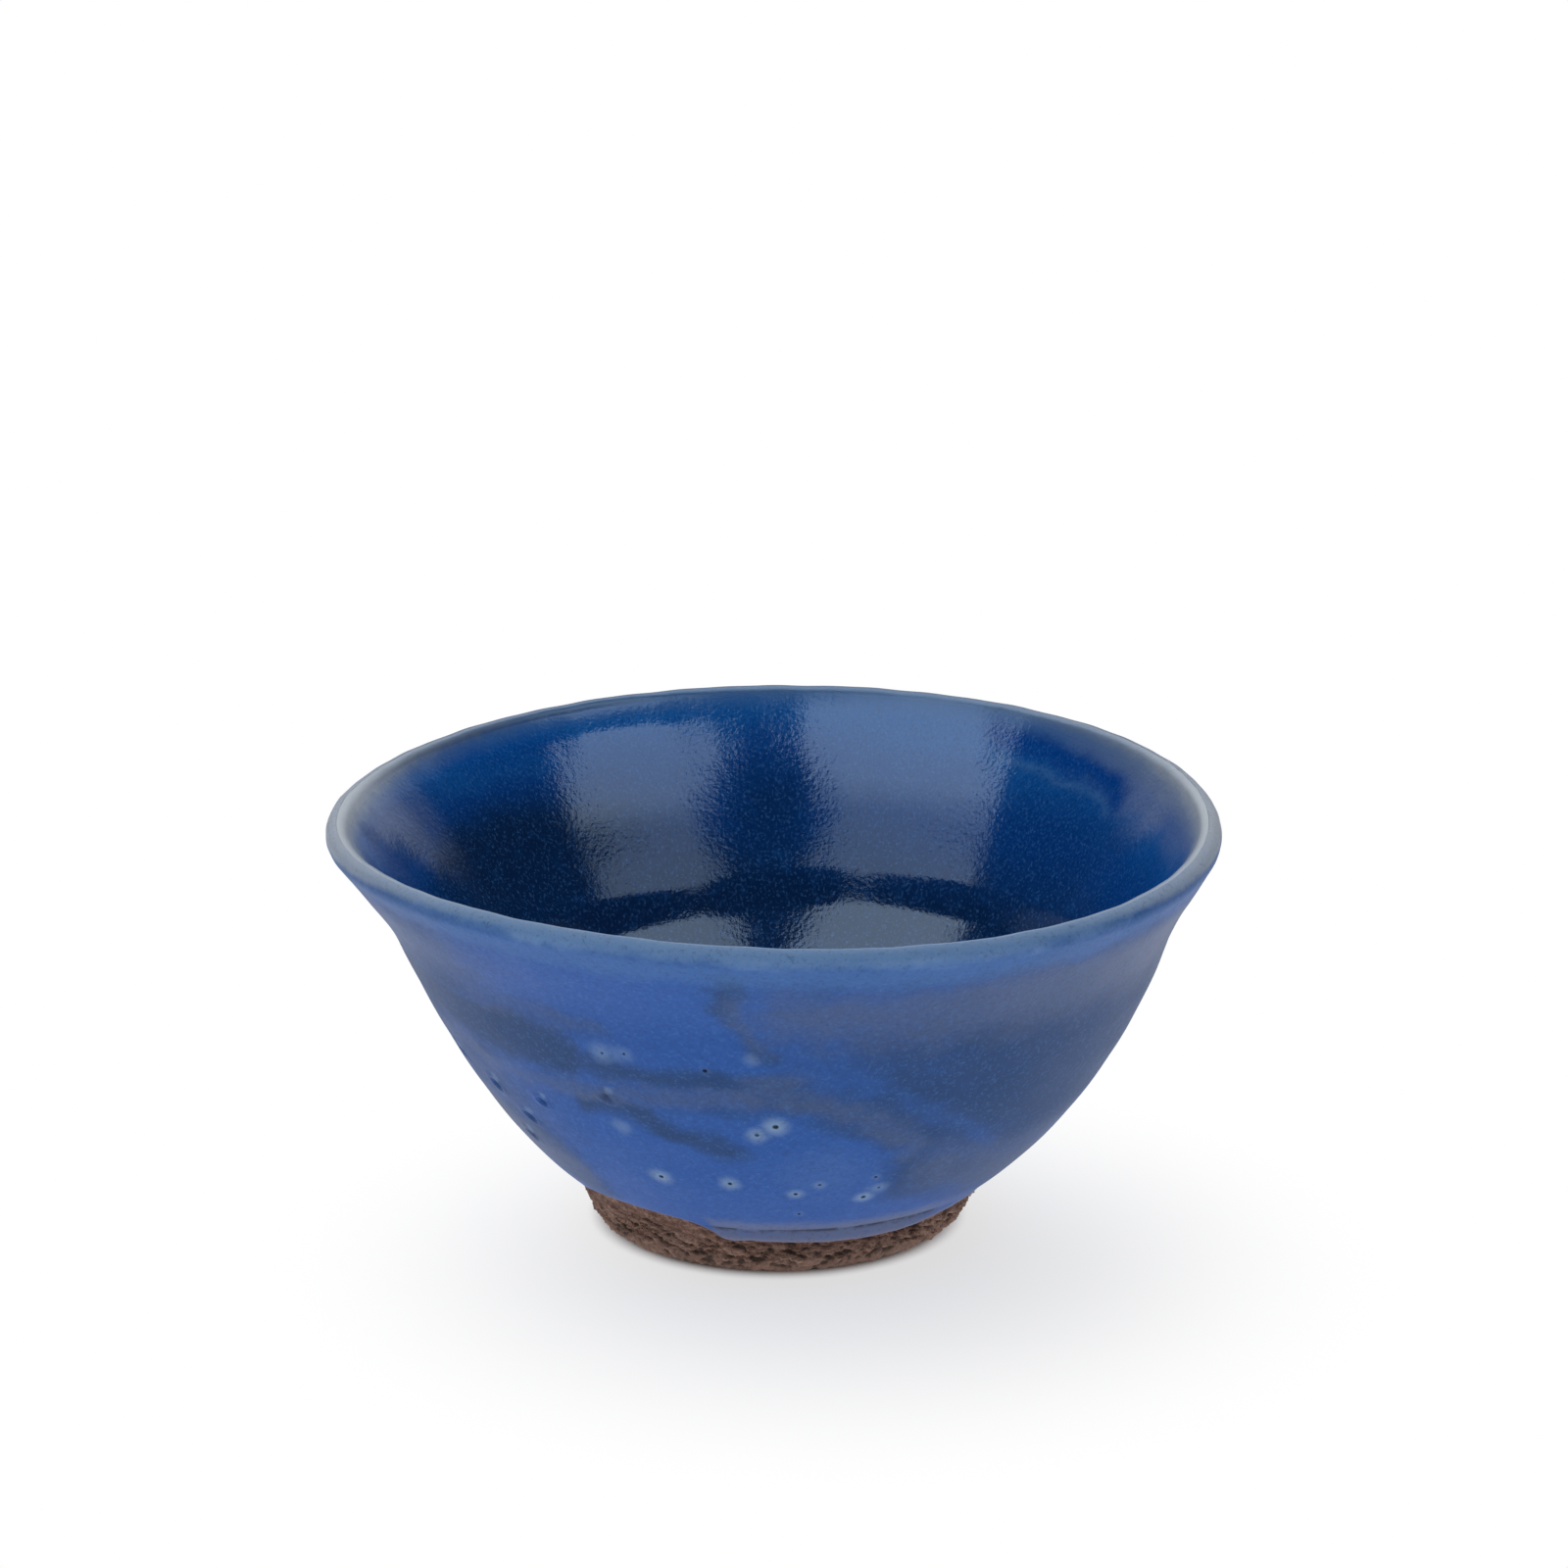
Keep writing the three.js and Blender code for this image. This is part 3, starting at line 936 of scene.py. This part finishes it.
# greyer places
mauveStreaks = [
    ([(203, 21.6), (210, 22), (217, 20.6), (225, 20.5), (233, 20.8),
      (240, 21), (248, 21.3), (259, 22), (266, 21.7)], 0.9, 0.85),
    ([(222, 28.2), (238, 28.2), (245, 28)], 1.1, 0.6),
    ([(266, 24), (275, 24.2)], 1.0, 0.5),
    ([(270, 30), (300, 30.5), (330, 30)], 3.2, 0.9),
    ([(300, 13), (315, 11), (338, 9.5)], 2.6, 0.65),
    ([(203, 13), (222, 10)], 2.6, 0.9),
    ([(268, 22.4), (276, 21.5), (284, 19.6), (291, 17), (293, 15.5)], 1.4, 0.6),
    ([(60, 29), (100, 30), (150, 29)], 2.5, 0.6),
]

# brighter places inside the slate
blueStreaks = [
    ([(275, 27), (278, 24.9), (282, 22.8)], 1.5, 0.42),
    ([(286.2, 22.8), (296.8, 18.6), (309.9, 14.7)], 0.6, 0.3),
]

# angles at which the slate side begins and ends, by height in mm
slateFrom = {
    8.5: 312, 10: 297, 13.7: 290, 16.5: 286, 17.2: 279, 19: 273.5, 24.8: 270, 27.5: 267, 29.3: 265, 34.6: 264,
}
slateTo = {6: 345, 14: 362, 22: 385, 30: 405, 37: 420}
slateSide = {
    "rise": (-4, 9),  # degrees over which it begins
    "fall": 40,  # and ends
    "weight": (0.8, 1.05),
    "fullAt": (20, 45),  # degrees over which the weight grows
    "foot": (6.5, 11),  # mm
    "lip": (31, 36),
    "lipLoss": 0.6,
}
slateLeft = {"from": (180, 200), "to": (214, 240), "foot": (5, 9), "weight": 0.7}  # at the left end

# dark line along the crease at the front, and the crack that climbs away from it on the right:
# degrees over which each begins and ends, height from the crease and half width in mm
creaseLine = {"from": (250, 256), "to": (310, 322), "height": -0.25, "width": 0.16}
crackLine = {"from": (326, 334), "to": (354, 359), "level": 333, "climb": 0.06, "width": 0.22}


def slateWeight(points):
    angle, height = angleAndHeight(points)
    height = roughened(height, points, (0.9, 4.5, 21), (0.5, 1.7, 22))
    angle = roughened(angle, points, (3, 5, 23), (1.4, 1.8, 24))
    start = np.interp(height, list(slateFrom), list(slateFrom.values()))
    width = np.interp(height, list(slateTo), list(slateTo.values())) - start
    within = (angle - start) % 360
    zone = band(within, slateSide["rise"], (width - slateSide["fall"], width))
    zone *= smooth(height, *slateSide["foot"])
    zone *= 1 - slateSide["lipLoss"] * smooth(height, *slateSide["lip"])
    zone *= mix(*slateSide["weight"], smooth(within, *slateSide["fullAt"]))
    left = band(angle, slateLeft["from"], slateLeft["to"]) * smooth(height, *slateLeft["foot"])
    zone = np.maximum(zone, slateLeft["weight"] * left)
    weight = np.maximum(streakWeight(angle, height, slateStreaks), zone)
    return np.clip(weight - streakWeight(angle, height, blueStreaks), 0, 1)


def mauveWeight(points):
    angle, height = angleAndHeight(points)
    height = roughened(height, points, (0.8, 4, 25), (0.4, 1.5, 26))
    return streakWeight(angle, height, mauveStreaks)


# point of the glaze's face at an angle and height, and the way out of it there
def surfacePoint(angle, height):
    lengths = np.linspace(0, outside.length[-1], 400)
    r, z = outside.at(lengths, form["wallCoat"])
    turn = math.radians(angle)
    radius = np.interp(height * mm, z, r)
    drifted = handThrown(radius, turn, height * mm)  # its angle is off by what the drift adds
    point = handThrown(radius, 2 * turn - math.atan2(drifted[1], drifted[0]), height * mm)
    rise = 0.5 * mm
    widening = np.interp(height * mm + rise, z, r) - radius
    out = Vector((math.cos(turn), math.sin(turn), -widening / rise)).normalized()
    return Vector(point), out


def apartFrom(points, angle, height):
    return np.linalg.norm(points - np.array(surfacePoint(angle, height)[0]), axis=1) / mm


# share of the run, by the length at which the glaze ends
def ranOver(end):
    return smooth(-end, *coat["runSpan"])


# hollows in the face of the glaze, with a raised rim: angle, height, radius
def sinkPits(piece, pits, rim, stretch, refine):
    mesh = bmesh.new()
    mesh.from_mesh(piece.data)
    for angle, height, size in pits:
        radius = size * mm
        centre, out = surfacePoint(angle, height)
        along = Vector((-out.y, out.x, coat["dentSlope"])).normalized()
        reach = max(coat["pitReach"] * radius * stretch, coat["leastReach"])
        for _ in range(refine):  # finer faces, on the outer side only
            faces = [face for face in mesh.faces if (face.calc_center_median() - centre).length < reach]
            edges = list({edge for face in faces for edge in face.edges if face.normal.dot(out) > 0.5})
            bmesh.ops.subdivide_edges(mesh, edges=edges, cuts=1, use_grid_fill=True)
        for vert in mesh.verts:
            apart = vert.co - centre
            if apart.length < reach and vert.normal.dot(out) > 0.3:
                long = apart.dot(along)
                share = math.sqrt(apart.length_squared - long ** 2 + (long / stretch) ** 2) / radius
                bowl = max(0, 1 - share * share) ** 1.5
                raised = hump(share, coat["rimAt"], coat["rimWidth"])
                vert.co += out * (rim * raised - coat["pitDepth"] * bowl)
    mesh.to_mesh(piece.data)
    mesh.free()


def buildCoat():
    angle = roundTurn(coat["columns"])[:, None]
    end = glazeEnd(angle)
    top = outside.length[-1]
    endRows = coat["endShare"] * np.linspace(0, 1, coat["endRows"])[:-1] ** 2
    share = np.concatenate([endRows, np.linspace(coat["endShare"], 1, coat["rows"])])
    length = end + (top - end) * share[None]
    fromEnd = length - end
    run = ranOver(end)
    endCoat = mix(coat["stopCoat"], coat["endCoat"], run)
    thickness = mix(endCoat, coatOn(outside.at(length)[1]), smooth(fromEnd, 0, coat["endEase"]))
    nose = np.clip(fromEnd / (coat["noseShare"] * endCoat), 0, 1)
    thickness = thickness * np.sqrt(1 - (1 - nose) ** 2) + coat["gap"]
    dip = coat["creaseDip"] * run * hump(length, coat["creaseAt"], coat["creaseWidth"])
    faceR, faceZ = outside.at(length, thickness - dip)
    face = handThrown(faceR, angle, faceZ)

    # waves, none at the lip and the lower end
    points = face.reshape(-1, 3)
    calm = smooth(fromEnd, *coat["calmEnd"]) * smooth(top - length, *coat["calmLip"])
    waves = thrownWaves(points, length, angle, coat) * calm.reshape(-1)
    radial = points * [1, 1, 0]
    points = points + radial / np.linalg.norm(radial, axis=1)[:, None] * waves[:, None]
    backR, backZ = outside.at(np.linspace(top, end[:, 0], coat["backRows"], axis=1), coat["gap"])
    back = handThrown(backR, angle, backZ)
    piece = turnedMesh("outerGlaze", np.concatenate([points.reshape(face.shape), back], 1))
    sinkPits(piece, [hole[:3] for hole in pinholes], coat["holeRim"], stretch=1, refine=2)
    sinkPits(piece, dents, coat["dentRim"], coat["dentStretch"], refine=1)
    markCoat(piece)
    return piece


def markCoat(piece):
    points = coordinates(piece)
    turn = angleAndHeight(points)[0]
    mark(piece, "slate", slateWeight(points))
    mark(piece, "mauve", mauveWeight(points))
    haloAndHighlight = np.zeros(len(points))
    hole = np.zeros(len(points))
    ragged = 1 + 0.35 * grain(points, 0.7 * mm, 33)
    for a, h, reach, strength in paleSpots:
        apart = apartFrom(points, a, h) * ragged
        haloAndHighlight = np.maximum(haloAndHighlight, strength * (1 - smooth(apart, 0.1 * reach, reach)))
    # dents: painted shade in the hollow, painted highlight on one side
    for a, h, radius in dents:
        apart = apartFrom(points, a, h)
        hole = np.maximum(hole, coat["dentShade"] * (1 - smooth(apart, 0.2 * radius, 0.9 * radius)))
        apart = apartFrom(points, a + 1, h + 0.8) * ragged  # painted highlight on one side of the dent
        haloAndHighlight = np.maximum(haloAndHighlight, coat["dentHighlight"] * (1 - smooth(apart, 0.3 * radius, 1.2 * radius)))
    mark(piece, "haloAndHighlight", haloAndHighlight)
    mark(piece, "hole", hole)
    angle = np.radians(turn)
    markLip(piece, angle, points)
    end = glazeEnd(angle)
    mark(piece, "aboveEnd", (points[:, 2] - outside.at(end)[1]) / mm)
    mark(piece, "ran", ranOver(end))

    fromCrease = (points[:, 2] - outside.at(coat["creaseAt"])[1]) / mm
    line = band(turn, creaseLine["from"], creaseLine["to"])
    line = line * hump(fromCrease, creaseLine["height"], creaseLine["width"])
    climb = crackLine["climb"] * (turn - crackLine["level"])
    crack = band(turn, crackLine["from"], crackLine["to"]) * hump(fromCrease, climb, crackLine["width"])
    mark(piece, "crease", np.maximum(line, crack))


def coatFinish():
    f = Finish(bpy.data.materials.new("cobaltSatinGlaze"))
    place = f.place()
    below = f.attribute("belowRim")
    end = f.attribute("aboveEnd")
    soft = f.stretch(place, (1, 1, 1.5))
    cloud = f.noise(soft, 9 * mm, 4, 0.6, 7)
    mottle = f.noise(soft, 2.2 * mm, 5, 0.65, 8)
    thrown = f.noise(f.stretch(place, (1, 1, 5)), 5 * mm, 4, 0.6, 13)
    grainy = f.noise(place, 0.34 * mm, 3, 0.65, 9)
    specks = f.noise(place, 0.22 * mm, 1, 0.5, 12)

    # slate over cobalt, greyer in places
    drift = 0.5 * (cloud - 0.5) + 0.6 * (mottle - 0.5) + 0.5 * (thrown - 0.5)
    slate = f.step(f.attribute("slate") + drift, 0.0, 1.05)
    mauve = f.step(f.attribute("mauve") + 0.7 * (cloud - 0.5) + 0.6 * (mottle - 0.5), 0.1, 0.85)
    colour = f.blend(slate, coat["cobalt"], f.blend(mauve, coat["slate"], coat["mauve"]))
    colour = f.blend(f.step(mottle, 0.5, 0.85) * 0.15, colour, coat["pale"])

    # thinner and paler towards the lip; the pale band reaches further down in front as painted highlight
    # painted sheen on the flanks below the lip, at the left and right edges as the camera sees them
    sideways = f.attribute("sideways")
    flank = sideways * f.step(below, 2.5, 5) * (1 - f.step(below, 6, 14))
    colour = f.blend(flank * 0.7, colour, coat["sideSheen"])
    # the pale band under the lip reaches further down where it faces the camera: painted highlight over the
    # thin glaze
    wornTo = below + 0.9 - 1.5 * f.attribute("facing") + 1.6 * (mottle - 0.5) + 2.4 * (cloud - 0.5)
    colour = f.blend((1 - f.step(wornTo, 2, 4)) * 0.6, colour, coat["underLip"])
    colour = f.blend((1 - f.step(wornTo, -0.2, 1.2)) * 0.9, colour, coat["lip"])
    # the crest, wider at the sides, in its painted highlight, painted shade and painted sheen
    crest = below - 0.7 * sideways + 0.5 * (mottle - 0.5)
    colour = f.blend((1 - f.step(crest, 0.0, 0.6)) * 0.85, colour, crestColour(f))

    # pale halos and dark holes, with the dents' painted shade and painted highlight
    haloAndHighlight = f.attribute("haloAndHighlight") * (0.35 + 0.9 * mottle)
    hole = f.attribute("hole")
    for angle, height, radius, reach, strength in pinholes:
        apart = f.distance(place, surfacePoint(angle, height)[0]) * (1 / mm)
        haloAndHighlight = f.most(haloAndHighlight, 0.9 * strength * (1 - f.step(apart * (0.6 + 0.7 * mottle), 0.0, 1.35 * reach)))
        hole = f.most(hole, 1 - f.step(apart, 0.7 * radius, 1.35 * radius))
    colour = f.blend(haloAndHighlight, colour, coat["haloAndHighlight"])

    # the run over the crease, its thin lower edge and the dark line in it
    run = f.attribute("ran") * (1 - f.step(end + 1.2 * (mottle - 0.5), 1.6, 3.2))
    colour = f.blend(run * 0.8, colour, coat["run"])
    colour = f.blend((1 - f.step(end + 0.3 * (mottle - 0.5), 0.05, 0.5)) * 0.6, colour, coat["thinEnd"])
    colour = f.blend(f.attribute("crease") * f.step(mottle, 0.41, 0.56) * 0.9, colour, coat["nearBlack"])
    # dark pinhole cores, and the dents' painted shade
    colour = f.blend(hole, colour, coat["nearBlack"])

    # fine speckle over all of it
    colour = f.blend(f.step(grainy, 0.5, 0.7) * 0.33, colour, coat["pale"])
    colour = f.blend((1 - f.step(grainy, 0.3, 0.5)) * 0.38, colour, coat["slate"])
    colour = f.blend(f.step(specks, 0.66, 0.8) * 0.14, colour, coat["haloAndHighlight"])
    rough = 0.46 + 0.08 * f.step(cloud, 0.3, 0.7) + 0.06 * mottle
    normal = f.bump(mottle * 0.35 + grainy * 0.65, coat["peel"])
    return f.surface(f.shader(colour=colour, roughness=rough, normal=normal, ior=coat["ior"]))


coatPiece = buildCoat()
finishPiece(coatPiece, "outer_glaze", coatFinish())


# studio, in metres: white table and sweep, two soft boxes in front, one behind, a dark room behind the camera
studio = {
    "roomFront": 0.012,
    "roomBack": 1.0,
    "backTilt": 0.25,  # how far the white behind leans over
    "backSpan": (0.64, 1.02),
    "horizon": (0.0, 0.3),
    "boxAway": 0.7,
    "table": (0.88, 0.9, 0.93),
    "tableReach": 1.6,
    "tableGlow": 0.68,
    "tableFade": (0.008, 0.05),
    "footShadow": (0.0145, 0.0172),  # closer to the foot than this the table only shows real light
    "shadowMiddle": (0.005, -0.012, 0),
}

# soft boxes: degrees round from the front and up, edges in their own plane in metres, level
softBoxes = {
    "leftBox": {"turn": -52, "lift": 48, "across": (-0.33, 0.27), "up": (-0.1, 0.39), "level": 2.0},
    "rightBox": {"turn": 61, "lift": 47, "across": (-0.2, 0.24), "up": (-0.09, 0.26), "level": 1.75},
    "backBox": {"turn": -172, "lift": 64, "across": (-0.25, 0.25), "up": (-0.25, 0.25), "level": 1.8},
}


def addSoftBox(name, turn, lift, across, up, level):
    around = math.radians(turn)
    rise = math.radians(lift)
    way = Vector((math.sin(around) * math.cos(rise), -math.cos(around) * math.cos(rise), math.sin(rise)))
    right = Vector((math.cos(around), math.sin(around), 0))
    above = way.cross(right)
    data = bpy.data.lights.new(name, "AREA")
    data.shape = "RECTANGLE"
    data.size = across[1] - across[0]
    data.size_y = up[1] - up[0]
    data.energy = level * math.pi * data.size * data.size_y
    box = bpy.data.objects.new(name, data)
    box.location = Vector((0, 0, cupHeight / 2)) + way * studio["boxAway"]
    box.location += right * sum(across) / 2 + above * sum(up) / 2
    box.rotation_euler = Matrix((right, above, way)).transposed().to_euler()
    box.visible_camera = False
    scene.collection.objects.link(box)


def addTable():
    mesh = bpy.data.meshes.new("table")
    reach = studio["tableReach"]
    ring = [(reach * math.cos(a), reach * math.sin(a), 0) for a in roundTurn(48)]
    mesh.from_pydata(ring, [], [list(range(len(ring)))])
    table = bpy.data.objects.new("table", mesh)
    scene.collection.objects.link(table)
    f = Finish(bpy.data.materials.new("whiteTable"))
    place = f.place()
    paper = f.node("ShaderNodeBsdfDiffuse", {}, {"Color": studio["table"]})
    white = f.node("ShaderNodeEmission", {}, {"Color": (1.0, 1.0, 1.0), "Strength": 1.0})
    away = f.distance(place, studio["shadowMiddle"])
    far = studio["tableGlow"] + (1 - studio["tableGlow"]) * f.step(away, *studio["tableFade"])
    far = far * f.step(f.distance(place, (0, 0, 0)), *studio["footShadow"])
    shader = f.node("ShaderNodeMixShader", {}, {0: far, 1: paper, 2: white})
    mesh.materials.append(f.surface(shader))


def addRoom():
    f = Finish(bpy.data.worlds.new("studio"))
    scene.world = f.owner
    way = f.node("ShaderNodeTexCoord", out="Generated")
    depth = f.node("ShaderNodeSeparateXYZ", {}, {0: way}, out="Y")
    height = f.node("ShaderNodeSeparateXYZ", {}, {0: way}, out="Z")
    behind = f.step(depth + studio["backTilt"] * height, *studio["backSpan"])
    white = behind * f.step(height, *studio["horizon"])
    level = studio["roomFront"] + (studio["roomBack"] - studio["roomFront"]) * white
    seen = f.node("ShaderNodeLightPath", out="Is Camera Ray")
    strength = seen + (1 - seen) * level
    light = f.node("ShaderNodeBackground", {}, {"Color": (1.0, 1.0, 1.0), "Strength": strength})
    f.node("ShaderNodeOutputWorld", {}, {"Surface": light})


for name, box in softBoxes.items():
    addSoftBox(name, **box)
addTable()
addRoom()
print("studio lit")
